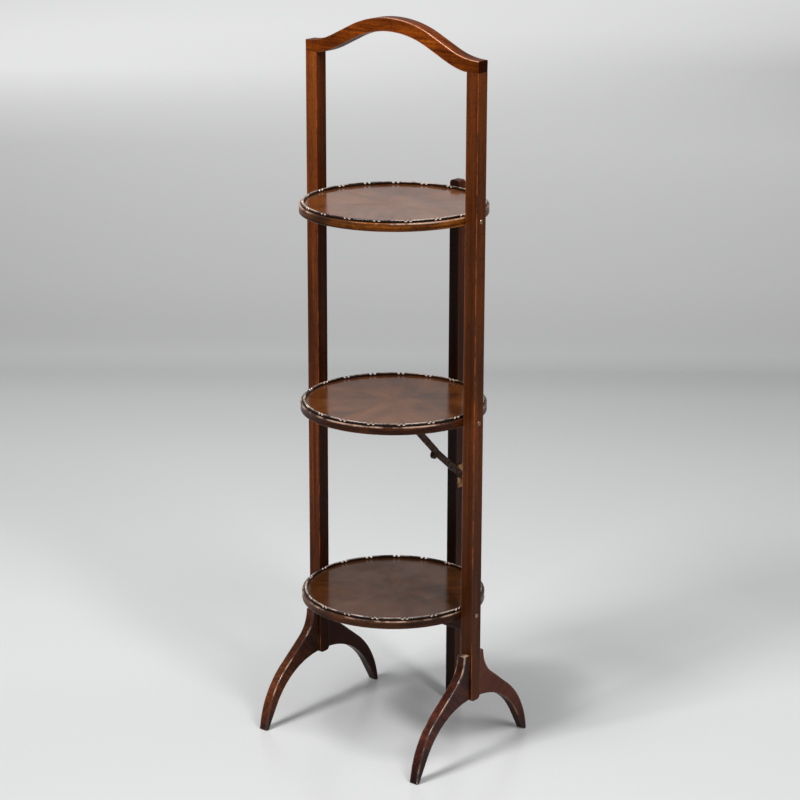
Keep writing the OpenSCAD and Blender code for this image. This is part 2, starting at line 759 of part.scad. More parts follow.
left_upright();
right_upright();
arch_rail();
arch_dowels();
stretcher();
stretcher_screws();
left_front_leg();
left_rear_leg();
right_front_leg();
right_rear_leg();
leg_dowels();
top_board();
top_band();
top_lip();
top_veneer();
top_bearer();
top_bearer_screws();
top_pivot_screws();
middle_board();
middle_band();
middle_lip();
middle_veneer();
middle_bearer();
middle_bearer_screws();
middle_pivot_screws();
bottom_board();
bottom_band();
bottom_lip();
bottom_veneer();
bottom_bearer();
bottom_bearer_screws();
bottom_pivot_screws();
rear_bar();
bar_pivot_screws();
stay_plate();
stay_plate_screws();
bar_rivet();
lower_link();
lower_knuckle_rivet();
upper_link();
upper_knuckle_rivet();
stay_bracket();
stay_bracket_screws();
bracket_rivet();
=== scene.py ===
"""The folding cake stand's finished surfaces, woods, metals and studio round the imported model."""
import math

import bpy
import numpy as np
from mathutils import Matrix, Vector


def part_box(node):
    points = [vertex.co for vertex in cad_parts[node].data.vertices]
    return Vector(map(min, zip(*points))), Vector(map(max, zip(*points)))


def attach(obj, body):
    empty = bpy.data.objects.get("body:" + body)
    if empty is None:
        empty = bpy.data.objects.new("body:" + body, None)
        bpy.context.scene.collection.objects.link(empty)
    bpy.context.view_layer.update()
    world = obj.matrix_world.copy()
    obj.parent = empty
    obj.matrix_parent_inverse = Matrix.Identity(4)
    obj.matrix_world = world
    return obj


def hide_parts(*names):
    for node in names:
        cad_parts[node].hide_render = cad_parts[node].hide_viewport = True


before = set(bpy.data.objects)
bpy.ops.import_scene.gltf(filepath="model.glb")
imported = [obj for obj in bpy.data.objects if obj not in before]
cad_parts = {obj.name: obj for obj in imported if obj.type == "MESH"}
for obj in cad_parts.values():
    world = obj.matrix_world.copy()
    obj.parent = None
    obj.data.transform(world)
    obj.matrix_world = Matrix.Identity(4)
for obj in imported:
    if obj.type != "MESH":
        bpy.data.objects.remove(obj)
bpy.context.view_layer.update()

# The uprights' centre plane lies this far in front of the origin
FRAME_Y = -0.008
TRAYS = ("bottom", "middle", "top")
# A tray's radius over its edge band, its height with the lip, and the lip's own height
TRAY_R, TRAY_TALL, LIP_TALL = 0.120, 0.014, 0.0036


# ---- Shaders

class Socket:
    """A node's output in one material. Arithmetic on sockets adds Math nodes to that material."""

    def __init__(self, tree, link=None):
        self.tree, self.link = tree, link

    def node(self, kind, settings=None, inputs=None, out=0):
        """Adds a node. Settings are its own properties, inputs its sockets' values or links."""
        n = self.tree.nodes.new("ShaderNode" + kind)
        for key, value in (settings or {}).items():
            if key == "stops":
                fill_ramp(n.color_ramp, value)
            else:
                setattr(n, key, value)
        for key, value in (inputs or {}).items():
            if isinstance(value, Socket):
                self.tree.links.new(value.link, n.inputs[key])
            else:
                n.inputs[key].default_value = value
        return Socket(self.tree, n.outputs[out])

    def math(self, operation, a, b=0.0):
        """Adds a Math node on a and b."""
        return self.node("Math", {"operation": operation}, {0: a, 1: b})

    def __add__(self, other):
        return self.math("ADD", self, other)

    def __sub__(self, other):
        return self.math("SUBTRACT", self, other)

    def __rsub__(self, other):
        return self.math("SUBTRACT", other, self)

    def __mul__(self, other):
        return self.math("MULTIPLY", self, other)

    def __truediv__(self, other):
        return self.math("DIVIDE", self, other)

    def __pow__(self, other):
        return self.math("POWER", self, other)

    __radd__, __rmul__ = __add__, __mul__

    def between(self, low, high, to_low=0.0, to_high=1.0):
        """Runs smoothly from to_low to to_high as the value goes from low to high."""
        return self.node("MapRange", {"interpolation_type": "SMOOTHSTEP"},
                         {"Value": self, "From Min": low, "From Max": high,
                          "To Min": to_low, "To Max": to_high})

    def mix(self, a, b, blend="MIX"):
        """Colour a where this value is 0 and colour b where it is 1."""
        return self.node("Mix", {"data_type": "RGBA", "blend_type": blend},
                         {0: self, 6: a, 7: b}, out=2)

    def ramp(self, stops):
        """The colour of this value on a ramp of (place, colour) stops."""
        return self.node("ValToRGB", {"stops": stops}, {0: self})

    def noise(self, p, scale, detail=3.0, rough=0.5, bend=0.0):
        """Noise at the point p, of scale bumps to the metre."""
        return self.node("TexNoise", {}, {"Vector": p, "Scale": scale, "Detail": detail,
                                          "Roughness": rough, "Distortion": bend})

    def stretch(self, p, factors):
        """The point p multiplied by its own factor along each axis."""
        return self.node("VectorMath", {"operation": "MULTIPLY"}, {0: p, 1: factors})


def fill_ramp(ramp, stops):
    """Sets a colour ramp to (place, colour) stops."""
    while len(ramp.elements) > len(stops):
        ramp.elements.remove(ramp.elements[-1])
    while len(ramp.elements) < len(stops):
        ramp.elements.new(1.0)
    for element, (place, colour) in zip(ramp.elements, stops):
        element.position, element.color = place, colour


def tone(r, g, b):
    """A colour given as it looks on screen, from 0 to 255, as the shader's linear colour."""
    c = np.array([r, g, b]) / 255
    linear = np.where(c <= 0.04045, c / 12.92, ((c + 0.055) / 1.055) ** 2.4)
    return (*[float(v) for v in linear], 1.0)


def new_material(name, **constants):
    """An empty Principled material, and a socket to start its nodes from."""
    m = bpy.data.materials.new(name)
    m.use_nodes = True
    tree = m.node_tree
    tree.nodes.clear()
    surface = tree.nodes.new("ShaderNodeBsdfPrincipled")
    out = tree.nodes.new("ShaderNodeOutputMaterial")
    tree.links.new(surface.outputs[0], out.inputs["Surface"])
    for key, value in constants.items():
        surface.inputs[key.replace("_", " ")].default_value = value
    return m, Socket(tree), surface


def finish_material(start, surface, colour, roughness=None, bump=None, depth=0.0001):
    """Links colour and roughness, and a bump whose height is given in its own depth in metres."""
    links = start.tree.links
    links.new(colour.link, surface.inputs["Base Color"])
    if roughness is not None:
        links.new(roughness.link, surface.inputs["Roughness"])
    if bump is not None:
        normal = start.node("Bump", {}, {"Strength": 1.0, "Distance": depth, "Height": bump})
        links.new(normal.link, surface.inputs["Normal"])


def grain_space(start, along):
    """Object coordinates turned so that the grain runs along the third axis.

    along is an axis name, 'round' for a bent band whose grain follows the tray's rim, or an angle
    in degrees by which the grain leans from Z towards +Y."""
    p = start.node("TexCoord", {}, {}, out=3)
    if along == "z":
        return p
    parts = [start.node("SeparateXYZ", {}, {0: p}, out=i) for i in range(3)]
    if along == "x":
        ordered = (parts[1], parts[2], parts[0])
    elif along == "y":
        ordered = (parts[0], parts[2], parts[1])
    elif along == "round":
        y = parts[1] - FRAME_Y
        ordered = ((parts[0] * parts[0] + y * y) ** 0.5, parts[2],
                   start.math("ARCTAN2", y, parts[0]) * TRAY_R)
    else:
        s, c = math.sin(math.radians(along)), math.cos(math.radians(along))
        ordered = (parts[0], parts[1] * c - parts[2] * s, parts[1] * s + parts[2] * c)
    return start.node("CombineXYZ", {}, {i: v for i, v in enumerate(ordered)})


def wood(name, along, dark, mid, light, wear_and_highlight_tone, gloss=0.5, rough=0.3, figure=0.5, seed=0.0,
         painted_light=None, specular=0.1, mottle=30, fleck=0.25, rub_and_highlight_level=0.5):
    """Polished mahogany: long streaks and fine pores along the grain, and cloudy figure across it.

    The wood is painted darker where the piece's layer of painted shade and darkening is high: painted
    shade on faces that get less light, and darker places along some pieces, such as end grain. Where
    its wear attribute is high the polish is glossy, as on a rounded arris, and patches turn to the
    pale edge colour: rubbed wear, and painted highlights along arrises, beads and crests. The painted
    light argument names an axis and the places along it, in metres, between which the wood is painted
    lighter, as if better lit there. mottle is the figure's scale, fleck the strength of its small dark
    blots, and the pale edge level the noise level above which an edge turns pale."""
    m, s, surface = new_material(name, IOR=1.45, Coat_Roughness=0.16, Specular_IOR_Level=specular)
    plain = s.node("TexCoord", {}, {}, out=3)
    p = grain_space(s, along)
    p = s.node("VectorMath", {"operation": "ADD"}, {0: p, 1: (seed, seed * 1.7, seed * 2.3)})
    streak = s.noise(s.stretch(p, (1, 1, 0.018)), 210, 4, 0.6, 0.3)
    fine = s.noise(s.stretch(p, (1, 1, 0.03)), 1150, 3, 0.6)
    pores = s.noise(s.stretch(p, (1, 1, 0.05)), 2600, 2, 0.5)
    cloud = s.noise(s.stretch(p, (1, 1, 0.35)), mottle, 4, 0.6, 0.6)
    broad = s.noise(s.stretch(p, (1, 1, 0.5)), 7, 2, 0.5)
    amount = streak * 0.5 + fine * 0.28 + cloud * figure * 0.44 + (broad - 0.5) * 0.5
    # Each noise is about 0.5 on average, and this brings their sum back to 0.5
    amount = amount + (0.5 - 0.39 - 0.22 * figure)
    # Painted light: the wood is painted lighter from low to high along the axis, as if better lit
    # there
    if painted_light:
        axis, low, high, strength = painted_light
        place = s.node("SeparateXYZ", {}, {0: plain}, out="XYZ".index(axis))
        amount = amount + place.between(low, high, 0.0, strength)
    colour = amount.ramp([(0.3, dark), (0.5, mid), (0.74, light)])
    colour = pores.between(0.62, 0.74, 0.0, 0.6).mix(colour, dark)
    blot = s.noise(plain, 330, 3, 0.7, 0.8).between(0.5, 0.68, 0.0, fleck)
    colour = blot.mix(colour, dark)
    # Painted shade: faces and places that get less light are painted darker, and some places along a
    # piece are darker too
    shade = s.node("Attribute", {"attribute_name": "shade"}, {}, out=2)
    colour = shade.mix(colour, (dark[0] * 0.55, dark[1] * 0.5, dark[2] * 0.5, 1.0))
    edge = s.node("Attribute", {"attribute_name": "wear"}, {}, out=2)
    s.tree.links.new((edge * gloss).link, surface.inputs["Coat Weight"])
    # Pale edges: rubbed wear, and painted highlights along arrises, beads and crests
    patch = (s.noise(plain, 26, 4, 0.6) + edge.between(1.1, 1.5)).between(rub_and_highlight_level, rub_and_highlight_level + 0.16)
    rub_and_highlight = (edge * 1.3 + s.noise(plain, 240, 4, 0.7) - 1.35).between(0.0, 0.45) * patch
    colour = (rub_and_highlight * 0.85).mix(colour, wear_and_highlight_tone)
    roughness = s.noise(s.stretch(p, (1, 1, 0.3)), 60, 3).between(0.25, 0.8, rough - 0.06, rough + 0.1)
    height = pores * 0.35 + fine * 0.4 + s.noise(p, 140, 3) * 0.5
    finish_material(s, surface, colour, roughness, height, 0.0001)
    return m


def metal(name, base, darkening, rough=0.38):
    """Aged metal: a warm base clouded by darker stain, with soft scratches."""
    m, s, surface = new_material(name, Metallic=1.0, IOR=1.5)
    p = s.node("TexCoord", {}, {}, out=3)
    cloud = s.noise(p, 260, 4, 0.65, 0.4)
    speck = s.noise(p, 1500, 3, 0.6)
    colour = (cloud * 0.7 + speck * 0.3).between(0.4, 0.62).mix(base, darkening)
    roughness = cloud.between(0.3, 0.7, rough - 0.1, rough + 0.18)
    finish_material(s, surface, colour, roughness, speck * 0.6 + cloud * 0.4, 0.00008)
    return m


def veneer_top(name, dark, mid, light, seed, leaves=8):
    """Polished tray floor: wedge leaves whose grain runs out from the centre, each turned a
    little from its neighbour, under a hard gloss. The joints and the rim are darker."""
    wedge = 2 * math.pi / leaves
    m, s, surface = new_material(name, IOR=1.47)
    p = s.node("TexCoord", {}, {}, out=3)
    x, y = [s.node("SeparateXYZ", {}, {0: p}, out=i) for i in range(2)]
    y = y - FRAME_Y
    turn = s.math("ARCTAN2", y, x) / wedge + leaves
    leaf = s.math("FLOOR", turn)
    middle = (leaf - (leaves - 0.5)) * wedge
    lean = s.math("SINE", leaf * 2.4 + seed) * 0.16
    c, d = s.math("COSINE", middle + lean), s.math("SINE", middle + lean)
    out, across = x * c + y * d, y * c - x * d
    q = s.node("CombineXYZ", {}, {0: across, 1: leaf * 0.37 + seed, 2: out})
    streak = s.noise(s.stretch(q, (1, 1, 0.06)), 150, 4, 0.6, 0.4)
    fine = s.noise(s.stretch(q, (1, 1, 0.04)), 900, 3, 0.6)
    cloud = s.noise(s.stretch(q, (1, 1, 0.6)), 26, 3, 0.55, 0.8)
    shift = s.math("SINE", leaf * 5.1 + seed) * 0.03
    amount = streak * 0.3 + fine * 0.22 + cloud * 0.48 + shift
    colour = amount.ramp([(0.32, dark), (0.5, mid), (0.7, light)])
    seam = s.math("ABSOLUTE", turn - leaf - 0.5)
    radius = (x * x + y * y) ** 0.5
    gap = (0.5 - seam) * radius * wedge
    colour = gap.between(0.0001, 0.0006, 0.3, 0.0).mix(colour, dark)
    rim = radius.between(0.085, 0.1135)
    colour = (rim * 0.35).mix(colour, dark)
    roughness = s.noise(p, 22, 4, 0.6).between(0.3, 0.75, 0.12, 0.22)
    height = fine * 0.5 + s.noise(p, 90, 3) * 0.6 + s.noise(p, 420, 3, 0.7) * 0.25
    finish_material(s, surface, colour, roughness, height, 0.00003)
    return m


# ---- Meshes

def soft_section(w, d, r, painted_face_shades=(0, 0, 0, 0)):
    """Closed section of rectangles w by d, whose corners are rounded by r.

    w, d and r are arrays of m values. Each corner is a quarter circle about the point that lies r
    inside both sides, and four more points follow on each flat. Returns points (m, n, 2), and for the
    n points their wear, 1 on the corners and 0 on the flats, and their painted shade. The last
    argument gives the flats' painted shades in the order +d, -w, -d, +w, darker on faces that get less
    light, and a corner runs evenly from one to the next."""
    # How far from a corner the pale edge of wear and painted highlight fades out
    corner, rub_and_highlight = 5, (0.0006, 0.0022)
    w, d, r = [np.asarray(v, float)[:, None] for v in (w, d, r)]
    points, wear, shade = [], [], []
    for k in range(4):
        turn = k * math.pi / 2
        a = turn + np.linspace(0, math.pi / 2, corner)[None, :]
        sx, sy = (1, -1, -1, 1)[k], (1, 1, -1, -1)[k]
        cx, cy = sx * (w / 2 - r), sy * (d / 2 - r)
        points.append(np.stack([cx + r * np.cos(a), cy + r * np.sin(a)], axis=2))
        wear += [0.75] + [1.0] * (corner - 2) + [0.75]
        shade += list(np.linspace(painted_face_shades[k - 1], painted_face_shades[k], corner))
        side = (w if k % 2 == 0 else d) - 2 * r
        along = -np.array([math.cos(turn), math.sin(turn)])
        end = points[-1][:, -1, :]
        steps = [np.minimum(t, side * 0.45) for t in rub_and_highlight]
        steps += [side - t for t in steps[::-1]]
        for t, amount in zip(steps, (0.35, 0.0, 0.0, 0.35)):
            points.append((end + along * t)[:, None, :])
            wear.append(amount)
            shade.append(painted_face_shades[k])
    return np.concatenate(points, axis=1), np.array([wear, shade])


def mesh_piece(name, points, quads, caps, wear, material, body, stands_for, slot):
    """Makes the object, turns its faces outwards by the sign of its volume, gives it its material,
    attaches it to its body and hides the CAD parts that it stands for.

    quads is (k, 4), caps are lists of a flat end's points, and wear holds the points' wear and their
    painted shade and darkening."""
    points = np.asarray(points, float).reshape(-1, 3)
    a, b, c, d = [points[quads[:, i]] for i in range(4)]
    volume = (np.cross(a, b) * c).sum() + (np.cross(a, c) * d).sum()
    faces = [tuple(f) for f in quads.tolist()] + [tuple(cap) for cap in caps]
    if volume < 0:
        faces = [f[::-1] for f in faces]
    mesh = bpy.data.meshes.new(name)
    mesh.from_pydata(points.tolist(), [], faces)
    mesh.validate()
    for key, values in zip(("wear", "shade"), wear):
        layer = mesh.attributes.new(key, "FLOAT", "POINT")
        layer.data.foreach_set("value", np.asarray(values, np.float32))
    mesh.polygons.foreach_set("use_smooth", np.ones(len(mesh.polygons), bool))
    mesh.set_sharp_from_angle(angle=math.radians(32))
    piece = bpy.data.objects.new(name, mesh)
    bpy.context.scene.collection.objects.link(piece)
    mesh.materials.append(material)
    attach(piece, body)
    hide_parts(*stands_for)


def ring_quads(m, n, joined=False):
    """Faces between m closed rings of n points; joined also links the last ring to the first."""
    i, j = np.meshgrid(np.arange(m if joined else m - 1), np.arange(n), indexing="ij")
    i, j = i.ravel(), j.ravel()
    up, right = (i + 1) % m, (j + 1) % n
    return np.stack([i * n + j, i * n + right, up * n + right, up * n + j], axis=1)


def along_bar(wear, m, darkening):
    """Repeats a section's wear and painted shade for m rings, and adds each ring's own darkening: (2,
    m, n).
    """
    layers = np.repeat(wear[:, None, :], m, axis=1)
    layers[1] += np.asarray(darkening)[:, None]
    return layers


def bar_piece(name, rings, layers, *rest):
    """A bar from closed rings (m, n, 3), with flat end faces."""
    m, n = rings.shape[:2]
    caps = [list(range(n))[::-1], list(range((m - 1) * n, m * n))]
    mesh_piece(name, rings, ring_quads(m, n), caps, layers.reshape(2, -1), *rest)


def straight_bar(lo, hi, r, bottom, top, painted_face_shades):
    """Rings of an upright bar between the corners lo and hi.

    bottom and top are lists of (distance from that end, inset in X, inset in Y) that shape the
    ends, from the end inwards."""
    lo, hi = np.array(lo), np.array(hi)
    ends = [(lo[2] + t, x, y) for t, x, y in bottom] + [(hi[2] - t, x, y) for t, x, y in top[::-1]]
    z, inset_x, inset_y = np.array(ends).T
    w, d = hi[0] - lo[0] - 2 * inset_x, hi[1] - lo[1] - 2 * inset_y
    section, wear = soft_section(w, d, np.full(len(z), r), painted_face_shades)
    centre = (lo + hi) / 2
    rings = np.dstack([section + centre[:2], np.broadcast_to(z[:, None], section.shape[:2])])
    return rings, wear


def make_uprights(materials):
    """A square post whose lower end is rounded from front to rear by a quarter circle."""
    nose = 0.0055
    a = np.linspace(0, math.pi / 2, 9)
    bottom = [(nose * (1 - math.cos(t)), 0.0006 * (1 - math.sin(t)) ** 4,
               nose * (1 - math.sin(t))) for t in a]
    top = [(0, 0.0003, 0.0003), (0.0004, 0, 0)]
    # Painted shade on each post's faces, in the order rear, -X, front, +X: darker where less light
    # falls
    for side, painted_face_shades in (("left", (0.5, 0.3, 0.0, 0.55)), ("right", (0.5, 0.5, 0.3, 0.0))):
        lo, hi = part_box(side + "_upright")
        rings, wear = straight_bar(lo, hi, 0.0008, bottom, top, painted_face_shades)
        wear = along_bar(wear, len(rings), np.zeros(len(rings)))
        bar_piece(side + "_post", rings, wear, materials[side], "frame", [side + "_upright"],
                  "mahogany")


def make_rear_bar(material):
    """A slim bar with eased edges, whose top corners are quarter circles across its width."""
    lo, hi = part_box("rear_bar")
    r = 0.004
    a = np.linspace(0, math.pi / 2, 7)
    top = [(r * (1 - math.sin(t)), r * (1 - math.cos(t)) * 0.92, 0.0006 * (1 - math.cos(t)) ** 2)
           for t in a[::-1]]
    # Painted shade: the bar's front, in the trays' shade, is painted darkest, then its -X side and its
    # back
    rings, wear = straight_bar(lo, hi, 0.0007, [(0, 0.0006, 0.0006), (0.0006, 0, 0)], top,
                               (0.3, 0.5, 0.7, 0.0))
    wear = along_bar(wear, len(rings), np.zeros(len(rings)))
    bar_piece("hanging_bar", rings, wear, material, "rear_bar", ["rear_bar"], "mahogany")


def make_stretcher(material):
    """A flat rail with softened edges, made as a bar along X."""
    lo, hi = [np.array(v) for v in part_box("stretcher")]
    x = np.array([lo[0], lo[0] + 0.0005, hi[0] - 0.0005, hi[0]])
    inset = np.array([0.0005, 0, 0, 0.0005])
    section, wear = soft_section(hi[1] - lo[1] - 2 * inset, hi[2] - lo[2] - 2 * inset,
                                 np.full(4, 0.0007))
    centre = (lo + hi) / 2
    rings = np.dstack([np.broadcast_to(x[:, None], section.shape[:2]), section + centre[1:]])
    wear = along_bar(wear, len(rings), np.zeros(4))
    bar_piece("rear_stretcher", rings, wear, material, "frame", ["stretcher"], "dark_mahogany")


def arc(centre, r, start, end, n):
    """n points of a circle of radius r, from the angle start to end in degrees."""
    a = np.radians(np.linspace(start, end, n))
    return np.array(centre) + r * np.stack([np.cos(a), np.sin(a)], axis=1)


def arch_line(lo, hi, thick):
    """The middle of the arch rail from left to right, and its upward normals, as (x, z).

    The crown's circle stands on the centre line, and the two sweeps' circles lie over the ends and
    touch it."""
    crown, sweep = 0.150, 0.100
    end_z = lo[2] + 0.0145
    over = np.array([hi[0], crown + sweep - (hi[2] - end_z)])
    a = math.degrees(math.atan2(*over) - math.acos((crown + sweep) / np.hypot(*over)))
    left = arc((-hi[0], end_z + sweep), sweep + thick / 2, 270.4, 270 + a, 16)
    middle = arc((0, hi[2] - crown), crown - thick / 2, 90 + a, 90 - a, 34)
    line = np.linspace(left[-1], middle[0], 5)[1:-1]
    path = np.vstack([left, line, middle, line[::-1] * [-1, 1], left[::-1] * [-1, 1]])
    step = np.gradient(path, axis=0)
    step /= np.linalg.norm(step, axis=1)[:, None]
    return path, np.stack([-step[:, 1], step[:, 0]], axis=1)


def make_arch(material):
    """The serpentine rail: a section carried square to its line, cut level on the uprights."""
    lo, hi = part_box("arch_rail")
    thick, ease, chamfer = 0.017, 0.00025, 0.0009
    path, up = arch_line(lo, hi, thick)
    inset = np.zeros(len(path))
    path = np.vstack([path[:1], path[:1], path, path[-1:], path[-1:]])
    up = np.vstack([up[:1], up[:1], up, up[-1:], up[-1:]])
    inset = np.concatenate([[chamfer, ease], inset, [ease, chamfer]])
    path[:2, 0] = [-hi[0], -hi[0] + ease]
    path[-2:, 0] = [hi[0] - ease, hi[0]]
    depth = hi[1] - lo[1]
    # Painted shade: the rail's back and underside are painted darker than its front and top
    section, wear = soft_section(thick - 2 * inset, depth - 2 * inset, np.full(len(path), 0.0008),
                                 (0.4, 0.4, 0.0, 0.05))
    x = path[:, 0, None] + section[:, :, 0] * up[:, 0, None]
    z = path[:, 1, None] + section[:, :, 0] * up[:, 1, None]
    rings = np.dstack([x, section[:, :, 1] + FRAME_Y, np.maximum(z, lo[2])])
    rings[:, :, 0] = np.clip(rings[:, :, 0], -hi[0], hi[0])
    # Darker towards both ends of the rail, most at the right end; the end faces are darker still, for
    # their end grain
    darkening = np.interp(path[:, 0], [-0.139, -0.09, -0.03, 0.02, 0.075, 0.10, 0.139],
                      [0.25, 0.3, 0.1, 0.0, 0.0, 0.35, 0.6])
    wear = along_bar(wear, len(path), darkening)
    wear[1, [0, -1]] += 0.4
    # Painted highlight: the glossy, pale arris is stronger from the crown to the right end
    wear[0] *= np.interp(path[:, 0], [-0.139, -0.04, 0.0, 0.139], [0.7, 0.8, 1.1, 1.1])[:, None]
    wear[0, [0, -1]] = 0.0
    bar_piece("serpentine_rail", rings, wear, material, "frame", ["arch_rail"], "arch_mahogany")


def leg_stations():
    """Points along a leg's outer and inner outline, front to rear from the uprights' plane.

    Outside: the flat top's corner, a hollow arc, a straight run and the long sweep to the toe.
    Inside: down the post's face, then an arc that meets a straight run to the heel. Both are
    walked in the same steps, so that a pair of points is one section across the leg."""
    face, top, under, heel_slope, dip, wear = 0.0092, 0.144, 0.0824, 60.5, 2.2, 0.0011
    hollow_r, sweep_r, sweep = 0.046, 0.114, np.array([0.0025, -0.010])
    hollow = np.array([face + 0.0108 + hollow_r, top])
    apart = hollow - sweep
    a = math.degrees(math.atan2(*apart) + math.acos((hollow_r + sweep_r) / np.hypot(*apart)))
    toe = math.degrees(math.asin((wear - sweep[1]) / sweep_r))
    upper, lower = arc(hollow, hollow_r, 180, 270 - a, 12), arc(sweep, sweep_r, 90 - a, toe, 30)
    outer = np.vstack([upper, np.linspace(upper[-1], lower[0], 8)[1:-1], lower])
    turn = 15
    post = np.stack([np.full(turn, face), np.linspace(top, under, turn)], axis=1)
    s, c = math.sin(math.radians(heel_slope)), math.cos(math.radians(heel_slope))
    sd, cd = math.sin(math.radians(dip)), math.cos(math.radians(dip))
    heel_y = lower[-1][0] - 0.005
    under_r = (s * (heel_y - face) - c * under) / (1 - s * sd - c * cd)
    inside = arc((face - under_r * sd, under - under_r * cd), under_r, 90 - dip,
                 90 - heel_slope, 26)
    heel = np.array([heel_y - wear / 2, wear])
    inner = np.vstack([inside, np.linspace(inside[-1], heel, 9)[1:]])
    length = np.concatenate([[0], np.cumsum(np.linalg.norm(np.diff(inner, axis=0), axis=1))])
    own = np.concatenate([[0], np.cumsum(np.linalg.norm(np.diff(outer[turn:], axis=0), axis=1))])
    t = own / own[-1] * length[-1]
    walked = np.stack([np.interp(t, length, inner[:, i]) for i in range(2)], axis=1)
    return outer, np.vstack([post, walked])


def make_legs(materials):
    """Sawn legs: soft rectangles set across each between the two outlines.

    The toe and the top are bevelled by small last rings. Faces that get less light are painted darker,
    as painted shade; high and low say how much darker a leg is near its top and at its foot, and wear
    above 1 turns the top's end grain pale in patches."""
    outer, inner = leg_stations()
    outer = np.vstack([outer[:1], outer, outer[-1:]])
    inner = np.vstack([inner[:1], inner, inner[-1:]])
    ease, toe, heel = 0.0007, 0.0011, 0.001
    outer[0] += [-ease, 0]
    outer[-1], inner[-1] = (outer[-2][0] - toe, 0), (inner[-2][0] + heel, 0)
    outer[1, 1] -= ease
    span = outer - inner
    width = np.linalg.norm(span, axis=1)
    lo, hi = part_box("left_front_leg")
    thick = np.full(len(width), hi[0] - lo[0])
    thick[0] -= 0.0012
    thick[-1] -= 0.0014
    unit, centre = span / width[:, None], (outer + inner) / 2
    # Per leg: side, end, painted shade of its faces in the order +X, underside, -X, ridge, and how
    # much darker it is near its top and at its foot
    leg_shades_and_darkening = (("left", "front", (0.1, 0.6, 0.25, 0.0), 0.6, 0.75),
              ("left", "rear", (0.75, 0.9, 0.75, 0.7), 0.2, 1.0),
              ("right", "front", (0.1, 0.6, 0.1, 0.0), 0.5, 1.0),
              ("right", "rear", (0.0, 0.7, 0.2, 0.2), 0.0, 1.0))
    for side, end, painted_face_shades, high, low in leg_shades_and_darkening:
        section, wear = soft_section(width, thick, np.minimum(0.0016, width * 0.2), painted_face_shades)
        sy = 1 if end == "rear" else -1
        y = centre[:, 0, None] + section[:, :, 0] * unit[:, 0, None]
        z = centre[:, 1, None] + section[:, :, 0] * unit[:, 1, None]
        lo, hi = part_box(f"{side}_{end}_leg")
        rings = np.dstack([section[:, :, 1] + (lo[0] + hi[0]) / 2, sy * y + FRAME_Y,
                           np.maximum(z, 0)])
        height = centre[:, 1]
        darkening = np.interp(height, [0.002, 0.014, 0.03, 0.06, 0.12, 0.144],
                          [low, 0.85 * low, 0.55 * low, 0.1, high, high])
        wear = along_bar(wear, len(height), darkening)
        wear[0, 0] = 1.14
        bar_piece(f"{side}_{end}_foot", rings, wear,
                  materials[f"{side}_front" if end == "front" else end], "frame",
                  [f"{side}_{end}_leg"], "dark_mahogany")


def turned(profile, n):
    """Rings (k, n, 3) of a closed profile of k points (radius, height), turned round the tray's
    centre in n steps."""
    a = np.linspace(0, 2 * math.pi, n, endpoint=False)
    r, z = np.asarray(profile).T
    return np.stack([r[:, None] * np.cos(a), r[:, None] * np.sin(a) + FRAME_Y,
                     np.broadcast_to(z[:, None], (len(r), n))], axis=2)


# How much darker each band is at the angles that make_band names
BAND_DARKENING = {"bottom": [0.3, 0.3, 0.1, 0.0, 0.2, 0.7, 0.2, 0.0, 0.0, 0.1, 0.3],
              "middle": [0.3, 0.3, 0.0, 0.0, 0.1, 0.4, 0.3, 0.2, 0.3, 0.4, 0.3],
              "top": [0.3, 0.3, 0.1, 0.2, 0.6, 0.9, 0.5, 0.1, 0.1, 0.45, 0.3]}


def make_band(tray, rim, material):
    """The bent edge band: straight outside, with a small bead along its top edge. It is darker at some
    angles round the tray than at others, from the right side anticlockwise."""
    r, top, bottom = TRAY_R, rim - LIP_TALL, rim - TRAY_TALL
    bead = arc((r - 0.001, top - 0.001), 0.001, -20, 110, 8)
    foot = arc((r - 0.0008, bottom + 0.0008), 0.0008, 270, 340, 4)
    profile = np.vstack([[[r - 0.003, bottom]], foot, [[r - 0.0002, bottom + 0.0025],
                         [r - 0.0002, top - 0.0026]], bead, [[r - 0.003, top]]])
    # Wear on the foot's round and on the bead: gloss, and a pale painted highlight along the bead
    wear = np.concatenate([[0], np.full(4, 0.7), [0, 0], np.full(8, 1.0), [0.3]])
    n = 240
    rings = turned(profile, n)
    angle = np.linspace(0, 360, n, endpoint=False)
    darkening = np.interp(angle, [0, 180, 200, 220, 240, 260, 280, 300, 315, 330, 360],
                      BAND_DARKENING[tray])
    shade = np.broadcast_to(darkening[None, :], (len(profile), n)).ravel()
    mesh_piece(f"{tray}_edge", rings, ring_quads(len(profile), n, True), [],
               [np.repeat(wear, n), shade], material, f"{tray}_tray", [f"{tray}_band"], "mahogany")


def lip_depth(a, first, clusters=19, radius=0.115, scoop=0.0018, bead=0.0024):
    """Depth of the scoops at the angles a: each cluster is two cylinders of radius scoop laid
    across the lip at its top, with a bead left between them."""
    pitch = 2 * math.pi / clusters
    s = np.abs((a - math.radians(first) + pitch / 2) % pitch - pitch / 2) * radius
    off = np.abs(s - scoop - bead / 2)
    return np.sqrt(np.clip(scoop ** 2 - off ** 2, 0, None))


